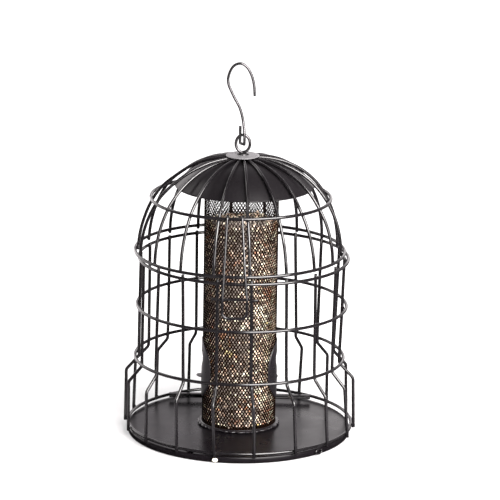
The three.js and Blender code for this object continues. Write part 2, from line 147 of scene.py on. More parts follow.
def lids(rows, columns):
    """Faces that close the first and the last row of a grid that wraps along its rows."""
    return np.array([np.arange(columns), rows * columns - 1 - np.arange(columns)])


def unit(vectors):
    return vectors / np.linalg.norm(vectors, axis=-1, keepdims=True)


def polar(radius, angle, height):
    """Points at a radius and an angle round the upright axis."""
    r, a, z = np.broadcast_arrays(radius, angle, height)
    return np.stack([r * np.cos(a), r * np.sin(a), z], axis=-1)


def carried(section, path, square_to, closed=False, scale=None):
    """A profile carried along a path. Its first axis is the path's direction crossed with
    square_to, and its second is square to both."""
    path = np.asarray(path, float)
    section = np.asarray(section, float)
    if closed:
        ahead = np.roll(path, -1, axis=0) - np.roll(path, 1, axis=0)
    else:
        ahead = np.gradient(path, axis=0)
    ahead = unit(ahead)
    side = unit(np.cross(ahead, square_to))
    lift = np.cross(side, ahead)
    size = np.ones(len(path)) if scale is None else scale
    around = side[:, None] * section[None, :, :1] + lift[:, None] * section[None, :, 1:]
    points = path[:, None] + around * size[:, None, None]
    sides = len(section)
    ends = [] if closed else [lids(len(path), sides)]
    return Shell(points, grid_faces(len(path), sides, closed, True), *ends)


def circle(radius, sides):
    angle = np.arange(sides) * TURN / sides
    return radius * np.stack([np.cos(angle), np.sin(angle)], axis=1)


def along(path, spacing):
    """Points on a line of straight runs, a nearly even distance apart, its corners kept."""
    path = np.asarray(path, float)
    length = np.concatenate([[0], np.cumsum(np.linalg.norm(np.diff(path, axis=0), axis=1))])
    even = np.linspace(0, length[-1], max(2, int(length[-1] / spacing)))
    where = np.unique(np.round(np.concatenate([length, even]), 3))
    where = where[np.concatenate([[True], np.diff(where) > 0.15])]
    return np.stack([np.interp(where, length, path[:, k]) for k in range(3)], axis=1)


def round_wire(path, radius, square_to, closed=False, sides=12):
    """A circle carried along a path. An open wire ends in three smaller circles, which makes a
    clipped end with a soft edge."""
    path = np.asarray(path, float)
    if closed:
        return carried(circle(radius, sides), path, square_to, True)
    start = unit(path[0] - path[1])
    stop = unit(path[-1] - path[-2])
    out = np.array([0.30, 0.22, 0.08]) * radius
    small = np.array([0.55, 0.82, 0.97])
    path = np.concatenate([
        path[0] + start * out[:, None], path, path[-1] + stop * out[::-1, None],
    ])
    scale = np.concatenate([small, np.ones(len(path) - 6), small[::-1]])
    return carried(circle(radius, sides), path, square_to, scale=scale)


def rounded(corners, radius, steps=8):
    """A line of straight runs whose corners are arcs of one radius."""
    corners = np.asarray(corners, float)
    line = [corners[:1]]
    for before, corner, after in zip(corners, corners[1:], corners[2:]):
        one = unit(corner - before)
        two = unit(after - corner)
        angle = math.acos(np.clip(one @ two, -1, 1))
        inward = unit(two - one * math.cos(angle))
        part = angle * np.linspace(0, 1, steps)[:, None]
        begin = corner - one * radius * math.tan(angle / 2)
        line.append(begin + radius * (one * np.sin(part) + inward * (1 - np.cos(part))))
    line.append(corners[-1:])
    return np.concatenate(line)


def smooth_line(points, spacing):
    """A line of cubics through given points, its slope at each that of its neighbours' chord."""
    points = np.asarray(points, float)
    slope = np.gradient(points, axis=0)
    t = np.linspace(0, 1, 12, endpoint=False)[None, :, None]
    p0, p1 = points[:-1, None], points[1:, None]
    m0, m1 = slope[:-1, None], slope[1:, None]
    line = ((2 * t**3 - 3 * t**2 + 1) * p0 + (t**3 - 2 * t**2 + t) * m0
            + (3 * t**2 - 2 * t**3) * p1 + (t**3 - t**2) * m1).reshape(-1, 3)
    return along(np.concatenate([line, points[-1:]]), spacing)


def arc(middle, radius, begin, finish, steps, across, up):
    """Points at a radius from the middle, in the plane of two unit vectors."""
    angle = np.linspace(begin, finish, steps)[:, None]
    return np.asarray(middle) + radius * (np.cos(angle) * across + np.sin(angle) * up)


def turned(profile, segments, ripple=None):
    """A closed outline of radius and height turned round the upright axis. ripple, if given, is
    added to the radius for each outline point and angle."""
    profile = np.asarray(profile, float)
    angle = np.arange(segments) * TURN / segments
    radius = profile[:, :1] + (ripple(angle) if ripple else 0)
    return Shell(polar(radius, angle, profile[:, 1:]), grid_faces(len(profile), segments, True, True))


def soft_outline(corners, radius, steps=4):
    """A closed outline whose corners are cut by short curves through three control points."""
    corners = np.asarray(corners, float)
    before = np.roll(corners, 1, axis=0)
    after = np.roll(corners, -1, axis=0)
    cut = np.minimum(radius, 0.45 * np.linalg.norm(corners - before, axis=1))
    cut_after = np.minimum(radius, 0.45 * np.linalg.norm(after - corners, axis=1))
    one = corners + unit(before - corners) * cut[:, None]
    two = corners + unit(after - corners) * cut_after[:, None]
    t = np.linspace(0, 1, steps)[None, :, None]
    curve = (1 - t)**2 * one[:, None] + 2 * t * (1 - t) * corners[:, None] + t**2 * two[:, None]
    return curve.reshape(-1, corners.shape[1])


def ball(segments, rings):
    """Unit sphere: its points by latitude and longitude, four-sided faces, and two caps that are
    wound against them."""
    latitude = (np.arange(rings)[:, None] + 1) * math.pi / (rings + 1)
    points = polar(np.sin(latitude), np.arange(segments) * TURN / segments, np.cos(latitude))
    caps = lids(rings, segments)[:, ::-1]
    return Shell(points, grid_faces(rings, segments, False, True), caps)


def scattered(shape, places, axes):
    """Copies of one shape: a copy's point is its place plus the shape's point times its axes."""
    points = places[:, None] + np.einsum("pk,nkc->npc", shape.points, axes)
    step = np.arange(len(places))[:, None, None] * len(shape.points)
    return Shell(points, *[(table[None] + step).reshape(-1, table.shape[1]) for table in shape.faces])


def turned_by(points, angle):
    """Points turned round the upright axis."""
    c, s = math.cos(angle), math.sin(angle)
    return np.asarray(points) @ np.array([[c, s, 0], [-s, c, 0], [0, 0, 1]])


# How the real one has settled: each hoop sits a little off the axis, each upright leans

CAGE_SET = np.array([[0, 0.4], [8, 0.4], [78, -1.2], [132, 0.6], [186, 2.1]])
DOME_SET = np.array([[185, -2.0], [242, -1.6], [283, -0.5], [400, -0.5]])
HOOK_SET = np.array([[280, -1.3], [400, -1.0]])
TUBE_SET = np.array([[0, -0.9], [260, -0.9]])
LATCH_SET = np.array([[145, 0.5], [168, 0.5], [242, -1.6]])
# How far each upright stands to the right of its place, at four heights
LEAN_HEIGHTS = [8, 58, 84, 180]
LEANS = [
    (2.0, 0.8, -0.4, -1.6), (4.7, 2.2, 0.0, -1.2), (3.8, 1.3, -0.4, -0.9), (2.3, -1.4, -1.6, -0.3),
    (0.0, -1.6, -2.4, 1.2), (-2.7, -2.8, -2.8, 0.6), (-3.5, -3.3, -3.2, -1.1), (-2.3, -0.3, 0.8, -1.4),
    (-1.5, -0.5, 0.0, -0.7), (-1.5, -0.5, 0.0, -0.8), (-1.9, -0.9, -0.4, -0.8), (-2.3, -1.3, -0.8, 0.3),
    (-2.3, -0.8, 0.0, 0.5), (-0.1, 0.4, -0.8, 0.0), (-0.6, -0.5, -0.4, 0.2), (0.2, 0.6, -1.6, 0.1),
    (2.3, 1.2, 0.0, -1.0), (2.8, 1.0, 0.6, 0.4),
]
# The same for each dome rib at three heights, and for all of them under the cap
RIB_HEIGHTS = [186, 245, 276, 284]
CAP_LEAN = -0.5
RIB_LEANS = [
    (-3.0, -4.6, -2.0), (-1.6, -3.6, -2.4), (-2.4, -4.6, -2.4), (-3.2, -4.2, -2.2), (-3.2, -3.4, -1.6),
    (-1.6, -1.2, -0.6), (-0.8, -0.8, -0.2), (-0.4, -0.4, 0.2), (-1.0, -0.6, -0.2), (-0.6, -0.2, 0.2),
    (0.4, -0.4, -0.2), (0.4, 1.0, 0.6), (-0.8, 1.9, 2.0), (-2.4, 0.5, 1.2), (-3.2, -1.6, 0.2),
    (-3.6, -3.2, -1.6), (-3.6, -2.4, -0.6), (-3.4, -2.2, -0.4),
]
# How far the ribs of the left shoulder are pressed down, and where
RIB_SAGS = {11: 0.8, 12: 2.0, 13: 2.0, 14: 0.8}
SAG_Z, SAG_SPAN = 264, 11
# How far a wire slides along its hoops and gives outwards at most
MOST_SLIDE, MOST_GIVE = 5, 0.8
SOFTNESS = 0.02        # keeps what is divided by from being nothing


def settled(points, table):
    """Points moved sideways by an amount that runs from height to height."""
    shift = np.interp(points[:, 2], table[:, 0], table[:, 1])
    return points + shift[:, None] * RIGHT


def slid(angle, wanted, with_hoops):
    """How far a wire at an angle has moved: with its hoops, then along them until it stands as
    far to the right as wanted, then outwards for the rest."""
    angle, wanted, with_hoops = np.broadcast_arrays(angle, wanted, with_hoops)
    out = polar(1.0, angle, 0.0)
    side = np.cross(UP, out)
    across, outwards = side @ RIGHT, out @ RIGHT
    rest = wanted - with_hoops
    slide = np.clip(rest * across / (across**2 + SOFTNESS), -MOST_SLIDE, MOST_SLIDE)
    rest = rest - slide * across
    give = np.clip(rest * outwards / (outwards**2 + SOFTNESS), -MOST_GIVE, MOST_GIVE)
    return with_hoops[..., None] * RIGHT + slide[..., None] * side + give[..., None] * out


def leaning(points, angle, heights, leans, table):
    """A wire's points, each moved by what its height asks."""
    z = points[:, 2]
    return points + slid(angle, np.interp(z, heights, leans), np.interp(z, table[:, 0], table[:, 1]))


def wavy(points, seed, size=0.1):
    """A drawn and straightened wire is never quite straight: two slow waves square to it."""
    phase = np.random.default_rng(seed).uniform(0, TURN, 4)
    z = points[:, 2]
    bow = size * np.sin(z / 31 + phase[0]) + size / 2 * np.sin(z / 13 + phase[1])
    swing = size * np.sin(z / 37 + phase[2]) + size / 2 * np.sin(z / 17 + phase[3])
    out = unit(points * np.array([1, 1, 0]) + 1e-6)
    return points + out * bow[:, None] + np.cross(UP, out) * swing[:, None]


# Materials

def fill(tree, node, inputs):
    """Sets each input of a node, or links it where a socket is given."""
    for name, value in inputs.items():
        socket = node.inputs[name]
        if isinstance(value, bpy.types.NodeSocket):
            tree.links.new(value, socket)
        else:
            socket.default_value = value


def put(tree, kind, inputs=None, **settings):
    """A node with its settings and inputs."""
    node = tree.nodes.new(kind)
    for name, value in settings.items():
        setattr(node, name, value)
    fill(tree, node, inputs or {})
    return node


def colour(red, green, blue):
    return (red, green, blue, 1)


def mixed(tree, share, one, two):
    """Colour between two."""
    return put(tree, "ShaderNodeMix", {0: share, 6: one, 7: two}, data_type="RGBA").outputs[2]


def sums(tree, operation, first, *others):
    """An operation of the maths node on one value, or on several in turn."""
    for other in others or (0.0,):
        first = put(tree, "ShaderNodeMath", {0: first, 1: other}, operation=operation).outputs[0]
    return first


def noise(tree, place, scale, detail, roughness=0.5):
    return put(tree, "ShaderNodeTexNoise", {
        "Vector": place, "Scale": scale, "Detail": detail, "Roughness": roughness,
    }).outputs[0]


def ramp(tree, value, start, stop, low, high):
    """A value between start and stop, carried over to between low and high."""
    return put(tree, "ShaderNodeMapRange", {0: value, 1: start, 2: stop, 3: low, 4: high}).outputs[0]


FLOAT, COLOUR = "NodeSocketFloat", "NodeSocketColor"


def make_coat_group():
    """Sprayed and baked paint: fine orange peel, slow changes of gloss, dust on what faces up."""
    tree = bpy.data.node_groups.new("sprayed_coat", "ShaderNodeTree")
    for side, name, kind in (
        ("INPUT", "Colour", COLOUR), ("INPUT", "Dust", COLOUR), ("INPUT", "Dust share", FLOAT),
        ("INPUT", "Roughness", FLOAT), ("INPUT", "Grain", FLOAT),
        ("OUTPUT", "Colour", COLOUR), ("OUTPUT", "Roughness", FLOAT), ("OUTPUT", "Height", FLOAT),
    ):
        tree.interface.new_socket(name, in_out=side, socket_type=kind)
    given = tree.nodes.new("NodeGroupInput").outputs
    made = tree.nodes.new("NodeGroupOutput").inputs
    place = put(tree, "ShaderNodeTexCoord").outputs["Object"]
    peel = noise(tree, place, given["Grain"], 2.0, 0.55)
    slow = noise(tree, place, 26.0, 3.0, 0.6)
    specks = noise(tree, place, 420.0, 4.0, 0.75)
    facing = put(tree, "ShaderNodeSeparateXYZ", {0: put(tree, "ShaderNodeNewGeometry").outputs["Normal"]})
    upward = ramp(tree, facing.outputs[2], 0.2, 1.0, 0.25, 1.0)
    spread = ramp(tree, specks, 0.45, 0.72, 0.25, 1.0)
    patchy = ramp(tree, slow, 0.35, 0.65, 0.5, 1.3)
    share = sums(tree, "MULTIPLY", upward, spread, patchy, given["Dust share"])
    gloss = sums(tree, "ADD", given["Roughness"], ramp(tree, slow, 0.3, 0.7, -0.05, 0.05))
    tree.links.new(mixed(tree, share, given["Colour"], given["Dust"]), made["Colour"])
    tree.links.new(sums(tree, "ADD", gloss, share), made["Roughness"])
    tree.links.new(peel, made["Height"])
    return tree


COAT = make_coat_group()


def new_shader(name):
    """A material, its nodes and the shader of its surface."""
    material = bpy.data.materials.new(name)
    material.use_nodes = True
    return material, material.node_tree, material.node_tree.nodes["Principled BSDF"]


def coated(name, paint, roughness, dust_share=0.05, grain=900.0, depth=0.00003, metallic=0.0,
           specular=0.5, ior=1.5, dust=(0.3, 0.29, 0.28)):
    """A painted or moulded surface, finished by the sprayed_coat group."""
    material, tree, shader = new_shader(name)
    finish = put(tree, "ShaderNodeGroup", {
        "Colour": colour(*paint), "Dust": colour(*dust), "Dust share": dust_share,
        "Roughness": roughness, "Grain": grain,
    }, node_tree=COAT).outputs
    bump = put(tree, "ShaderNodeBump", {"Height": finish["Height"], "Distance": depth, "Strength": 1.0})
    fill(tree, shader, {
        "Base Color": finish["Colour"], "Roughness": finish["Roughness"], "Normal": bump.outputs[0],
        "Metallic": metallic, "Specular IOR Level": specular, "IOR": ior,
    })
    return material


def seed_material():
    """Husks: each grain has its own tone, kept on its points, with streaks and a dusty bloom. The tone on
    the points also carries painted light and shade.
    """
    material, tree, shader = new_shader("mixed_seed")
    tone = put(tree, "ShaderNodeAttribute", attribute_name="husk_tone_and_painted_light").outputs["Color"]
    streak = noise(tree, put(tree, "ShaderNodeTexCoord").outputs["Object"], 900.0, 3.0)
    bloom = ramp(tree, streak, 0.3, 0.7, 0.0, 0.35)
    bump = put(tree, "ShaderNodeBump", {"Height": streak, "Distance": 0.0002, "Strength": 0.6})
    fill(tree, shader, {
        "Base Color": mixed(tree, bloom, tone, colour(0.96, 0.85, 0.74)), "Normal": bump.outputs[0],
        "Roughness": 0.6, "Specular IOR Level": 0.22,
    })
    return material


MATERIALS = {
    "wire": coated("black_wire_coat", (0.004, 0.0035, 0.004), 0.16, dust_share=0.004, depth=0.000001,
                   ior=1.45),
    "sheet": coated("black_tray_coat", (0.0032, 0.0025, 0.0032), 0.29, dust_share=0.006, grain=500.0,
                    depth=0.0000015, ior=1.235),
    "baffle": coated("black_roof_coat", (0.0046, 0.0040, 0.0046), 0.30, dust_share=0.006, grain=800.0,
                     depth=0.000003, specular=0.10),
    "cap": coated("grey_cap_coat", (0.160, 0.157, 0.163), 0.42, dust_share=0.10, metallic=0.5,
                  depth=0.00001),
    "steel": coated("dark_steel", (0.05, 0.048, 0.05), 0.20, dust_share=0.02, metallic=0.85, grain=1200.0,
                    depth=0.000004),
    "mesh": coated("black_mesh_coat", (0.0035, 0.0015, 0.0008), 0.42, dust_share=0.002, grain=1500.0,
                   depth=0.00001, specular=0.006, dust=(0.24, 0.20, 0.15)),
    "moulded": coated("black_moulding", (0.006, 0.005, 0.006), 0.28, dust_share=0.01, grain=500.0,
                      depth=0.000004, specular=0.28),
    "seed": seed_material(),
}


# Pieces

def linked(name, data):
    """An object of that data, put in the scene."""
    made = bpy.data.objects.new(name, data)
    bpy.context.scene.collection.objects.link(made)
    return made


def piece(name, shell, finish, body, *nodes, angle=35.0):
    """Makes a mesh of a shell, in metres, fixes it to its body and hides the solids it stands for."""
    mesh = bpy.data.meshes.new(name)
    faces = [row for table in shell.faces for row in table.tolist()]
    mesh.from_pydata((shell.points * MM).tolist(), [], faces)
    mesh.shade_smooth()
    mesh.set_sharp_from_angle(angle=math.radians(angle))
    mesh.materials.append(MATERIALS[finish])
    made = linked(name, mesh)
    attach(made, body)
    if nodes:
        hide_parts(*nodes)
    return made


def wire_angle(k):
    return -TURN / 4 + FIRST + TURN * k / COUNT


def hoop(radius, height, table, seed):
    """A hoop of wire, a little out of round and out of flat."""
    steps = 144
    angle = np.arange(steps) * TURN / steps
    phase = np.random.default_rng(seed).uniform(0, TURN, 3)
    r = radius + 0.18 * np.sin(2 * angle + phase[0]) + 0.10 * np.sin(5 * angle + phase[1])
    z = height + 0.22 * np.sin(2 * angle + phase[2])
    return round_wire(settled(polar(r, angle, z), table), COATED, UP, closed=True, sides=14)


def upright_line(k):
    """Straight from above the top hoop, out at the flare, straight down to below the base hoop."""
    profile = rounded([
        (CAGE_R, 0, TOP_HOOP_Z + STUB), (CAGE_R, 0, FLARE_Z),
        (FOOT_R, 0, FLARE_Z - FLARE_HEIGHT), (FOOT_R, 0, BASE_HOOP_Z - STUB),
    ], BEND_R)
    line = wavy(turned_by(along(profile, 6.0), wire_angle(k)), 100 + k)
    return leaning(line, wire_angle(k), LEAN_HEIGHTS, LEANS[k], CAGE_SET)


def dome_line(k):
    """An ellipse-like curve with fuller shoulders, from just below the bottom hoop to the crown."""
    angle = np.linspace(0, math.acos((CROWN_R / CAGE_R)**(DOME_FULLNESS / 2)), 34)
    radius = np.concatenate([[CAGE_R, CAGE_R], CAGE_R * np.cos(angle)**(2 / DOME_FULLNESS)])
    height = np.concatenate([[-2.0, -1.0], DOME_RISE * np.sin(angle)]) + LID_HOOP_Z
    height -= RIB_SAGS.get(k, 0) * np.exp(-((height - SAG_Z) / SAG_SPAN)**2)
    line = wavy(polar(radius, wire_angle(k), height), 200 + k)
    return leaning(line, wire_angle(k), RIB_HEIGHTS, RIB_LEANS[k] + (CAP_LEAN,), DOME_SET)


def beads(radius, height, inside=False):
    """Weld beads between a hoop and the uprights: flattened balls at each crossing."""
    in_dome = height > TOP_HOOP_Z + WIRE
    table = DOME_SET if in_dome else CAGE_SET
    heights, leans = (RIB_HEIGHTS[:3], RIB_LEANS) if in_dome else (LEAN_HEIGHTS, LEANS)
    wanted = np.array([np.interp(height, heights, lean) for lean in leans])
    angle = wire_angle(np.arange(COUNT))
    place = polar(radius + (STEP_OUT / 2 if inside else -STEP_OUT / 2), angle, height)
    place = place + slid(angle, wanted, np.interp(height, table[:, 0], table[:, 1]))
    out, up = polar(1.0, angle, 0.0), polar(0.0, angle, 1.0)
    axes = np.stack([out * 0.75, np.cross(up, out) * 1.75, up * 1.75], axis=1)
    return scattered(ball(10, 5), place, axes)


def build_wires(name, node, line, body):
    """The wires of the cage or of the dome, numbered as their solids are."""
    for k in range(COUNT):
        mark = f"{k + 1:02d}"
        wire = round_wire(line(k), COATED, turned_by(Y_AXIS, wire_angle(k)))
        piece(f"{name}_{mark}", wire, "wire", body, f"{node}_{mark}")


def build_cage():
    build_wires("upright", "cage_wire", upright_line, "cage")
    hoops = (("top", HOOP_R, TOP_HOOP_Z), ("middle", HOOP_R, MIDDLE_HOOP_Z),
             ("lower", HOOP_R, LOWER_HOOP_Z), ("base", BASE_HOOP_R, BASE_HOOP_Z))
    for seed, (name, radius, height) in enumerate(hoops, 1):
        welded = joined(hoop(radius, height, CAGE_SET, seed), beads(radius, height, name == "base"))
        piece(f"{name}_hoop", welded, "wire", "cage", f"cage_{name}_ring")


def build_dome():
    build_wires("dome_rib", "dome_wire", dome_line, "dome")
    middle = hoop(DOME_HOOP_R, DOME_HOOP_Z, DOME_SET, 5)
    piece("dome_middle_hoop", middle, "wire", "dome", "dome_middle_ring")
    low = joined(hoop(HOOP_R, LID_HOOP_Z, DOME_SET, 6), beads(HOOP_R, LID_HOOP_Z))
    piece("dome_bottom_hoop", low, "wire", "dome", "dome_bottom_ring")


def build_cap():
    """Stamped disc: nearly flat, its edge turned down a little."""
    reach, bore = reach_of("cap_plate"), 2.9
    shell = turned(soft_outline([
        (bore, CAP_LOW + 0.1), (reach - 2.4, CAP_LOW), (reach - 0.4, CAP_LOW - 0.2), (reach, CAP_LOW + 0.5),
        (reach - 2.0, CAP_HIGH + 0.1), (8, CAP_HIGH + 0.35), (bore, CAP_HIGH + 0.4),
    ], 0.5), 72)
    shell.points = settled(shell.points, DOME_SET)
    piece("cap_disc", shell, "cap", "dome", "cap_plate")


def build_baffle():
    """Spun roof whose height falls by the 2.8th power of the radius, with a rolled rim."""
    low, high = height_range("roof_baffle")
    rim, sheet, bore = reach_of("roof_baffle") - 0.6, 0.9, 3.4
    radius = np.concatenate([[bore, 9], np.linspace(14, rim, 34)])
    top = high - (high - low - 1.0) * (radius / rim)**2.8
    roll = arc((rim - 0.3, 0, top[-1] - 0.5), 0.9, 1.3, -2.6, 9, X_AXIS, UP)[:, [0, 2]]
    under = np.stack([radius[:-1], top[:-1] - sheet], axis=1)[::-1]
    shell = turned(np.concatenate([np.stack([radius, top], axis=1), roll, under]), 160)
    shell.points += 1.9 * RIGHT
    piece("baffle", shell, "baffle", "dome", "roof_baffle", angle=50)


def build_eye():
    """Wire bent to an eye over a collar, its clipped end lying on the collar."""
    low = height_range("eye_bolt")[0]
    across, half, coated_wire, bite = 6.95, 8.75, 1.45, 0.5
    middle = EYE_Z - half
    collar = middle - half - EYE_WIRE + bite
    angle = np.linspace(-TURN / 4 - 0.05, -TURN / 4 + TURN * 0.985, 64)
    ring = np.stack([across * np.cos(angle), np.linspace(0.5, -0.9, 64), middle + half * np.sin(angle)],
                    axis=1)
    shank = soft_outline([
        (0.4, low), (2.1, low), (2.5, low + 0.5), (2.5, collar - 1.6), (6.0, collar - 1.6),
        (6.0, collar - 0.5), (4.6, collar), (0.4, collar),
    ], 0.35)
    whole = joined(round_wire(ring, coated_wire, Y_AXIS, sides=14), turned(shank, 40))
    whole.points = settled(whole.points, DOME_SET)
    piece("eye", whole, "steel", "dome", "eye_bolt")


# The hook's line, from the eye to the tip: to the side and up, as shares of its width and rise
HOOK_WIDTH, HOOK_RISE = 27, 71.7
HOOK_SHARES = np.array([
    [0.061, 0.10], [0.011, 0.213], [-0.054, 0.316], [-0.145, 0.408], [-0.310, 0.520], [-0.455, 0.633],
    [-0.533, 0.705], [-0.553, 0.798], [-0.468, 0.905], [-0.332, 0.974], [-0.140, 1.003], [0.030, 0.985],
    [0.190, 0.925], [0.326, 0.816], [0.401, 0.696], [0.43, 0.557],
])


def build_hook():
    """One wire: short leg behind the eye, under it, and up the front into the large bend."""
    side, depth, drop, short_leg = 2.35, 3.2, 8.2, 8
    low = math.hypot(side, depth)
    bend = arc((0, 0, EYE_Z - drop), low, -TURN / 2, 0, 9, np.array([side, -depth, 0]) / low, UP)
    upper = HOOK_SHARES @ np.array([[HOOK_WIDTH, 0, 0], [0, 0, HOOK_RISE]]) + EYE_Z * UP
    upper[0, 1] = -depth / 2
    knots = np.concatenate([
        [[-side, depth, EYE_Z + short_leg], [-side, depth, EYE_Z + 1]], bend, [[side, -depth, EYE_Z]], upper,
    ])
    line = settled(smooth_line(knots, 0.9), HOOK_SET)
    wire = round_wire(line, THIN_COATED, Y_AXIS + 0.35 * X_AXIS, sides=14)
    piece("hook", wire, "steel", "hook", "s_hook")


def build_hinges():
    """Loops of wire closed round both back hoops."""
    reach = WIRE + PLAY + THIN
    for name, x in (("hinge_loop_left", -12), ("hinge_loop_right", 12)):
        y = math.sqrt(HOOP_R**2 - x**2)
        low = arc((x, y, TOP_HOOP_Z), reach, TURN / 2, TURN, 14, -Y_AXIS, UP)
        high = arc((x, y, LID_HOOP_Z), reach, 0, TURN * 0.42, 14, -Y_AXIS, UP)
        loop = round_wire(along(np.concatenate([low, high]), 1.2), THIN, X_AXIS)
        piece(f"{name}_wire", loop, "wire", "dome", name)


def build_latch():
    """Wire hung on the dome middle hoop: two legs, a finger loop below and a cross bar. The legs
    lean out towards the bar."""
    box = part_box("latch")
    lean_out, shorter, loop_drop = 2.6, 1.8, 18.6
    bar_half = box[1][0] / MM - shorter
    leg_y = -box[0][1] / MM - THIN
    low_y = leg_y + lean_out
    loop_z = box[0][2] / MM + THIN
    bar_y, bar_z = leg_y - 2 * THIN + 3.1, loop_z + loop_drop
    top, foot = 7.3, 12.0
    hang = np.array([-top, -math.sqrt(DOME_HOOP_R**2 - top**2), DOME_HOOP_Z])
    bend_z = LID_HOOP_Z - WIRE
    lean = math.atan((leg_y + hang[1]) / (DOME_HOOP_Z - bend_z))
    eye = arc(hang, WIRE + PLAY + THIN, TURN * 0.76, lean, 16, -Y_AXIS, UP)
    knee = top + (foot - top) * 0.7
    mirror = np.array([-1, 1, 1])
    corners = np.array([
        eye[-1], (-knee, -leg_y, bend_z), (-foot, -low_y, bar_z), (-foot, -low_y, loop_z),
        (foot, -low_y, loop_z), (foot, -low_y, bar_z), (knee, -leg_y, bend_z), eye[-1] * mirror,
    ])
    line = np.concatenate([eye[:-1], rounded(corners, BEND_R), (eye * mirror)[::-1][1:]])
    wire = round_wire(settled(along(line, 1.6), LATCH_SET), THIN_COATED, np.array([0.02, 0.98, 0.2]))
    line = along([(-bar_half, -bar_y, bar_z), (bar_half, -bar_y, bar_z)], 3)
    bar = round_wire(settled(line, LATCH_SET), THIN_COATED, UP)
    piece("latch_wire", joined(wire, bar), "wire", "latch", "latch")


def build_tray():
    """Pressed pan: low crown, rolled edge, skirt, and a foot turned in under it; a folded tab."""
    sheet, bore, foot, clip_wire, shift = 1.2, 3.2, 6, 1.4, 0.8
    reach = FOOT_R - WIRE - clip_wire - 2 * TOUCH
    edge = 6.8
    pan = turned(soft_outline([
        (reach - foot, 0), (reach, 0), (reach, edge), (reach - 3.8, edge + 0.1), (bore, edge + 1.5),
        (bore, edge + 0.4), (reach - 4.2, edge - 1.1), (reach - sheet, edge - 1.4), (reach - sheet, sheet),
        (reach - foot, sheet),
    ], 2.6, steps=7), 216)
    inner, tab_rise = BASE_HOOP_R - WIRE - TOUCH - sheet, 4.6
    bend = rounded([
        (0, -(inner - 2.4), edge + 0.6), (0, -inner, edge + 0.6), (0, -inner, edge + tab_rise),
    ], 1.0, 5)
    section = soft_outline([(-0.5, -3.5), (0.5, -3.5), (0.5, 3.5), (-0.5, 3.5)], 0.4)
    tab = carried(section, along(bend, 1.0), X_AXIS)
    tab.points = turned_by(tab.points, math.radians(-22.5))
    whole = joined(pan, tab)
    whole.points -= shift * RIGHT
    piece("pan", whole, "sheet", "cage", "tray")


def build_bar():
    """Folded channel with two ribs pressed along its front."""
    low, half = height_range("tray_cross_bar")[0], reach_of("tray_cross_bar") - 0.4
    width, place = 6, 76.0
    outline = soft_outline([
        (0, 0), (1, 0), (1, 3), (5, 3), (5, 0), (width, 0), (width, 4), (0, 4),
        (-0.5, 3.35), (0, 2.7), (0, 2.0), (-0.5, 1.1),
    ], 0.35, steps=3)
    profile = np.stack([width / 2 - outline[:, 0], outline[:, 1]], axis=1)
    bar = carried(profile, [(x, place, low) for x in np.linspace(-half, half, 24)], UP)
    bar.points = turned_by(bar.points, LEFT_TURN)
    piece("cross_bar", bar, "sheet", "cage", "tray_cross_bar", angle=30)


def build_clip():
    """Oval loop of wire on the wall of the tray."""
    reach, coated_wire, place = FOOT_R - WIRE - TOUCH - 0.7, 0.85, math.radians(48)
    angle = TURN / 4 + np.linspace(0, TURN * 0.9, 40)
    line = np.stack([4.2 * np.cos(angle), np.full(40, -reach), 3.9 + 2.1 * np.sin(angle)], axis=1)
    wire = round_wire(turned_by(line, place), coated_wire, turned_by(Y_AXIS, place))
    piece("clip", wire, "wire", "cage", "tray_clip")


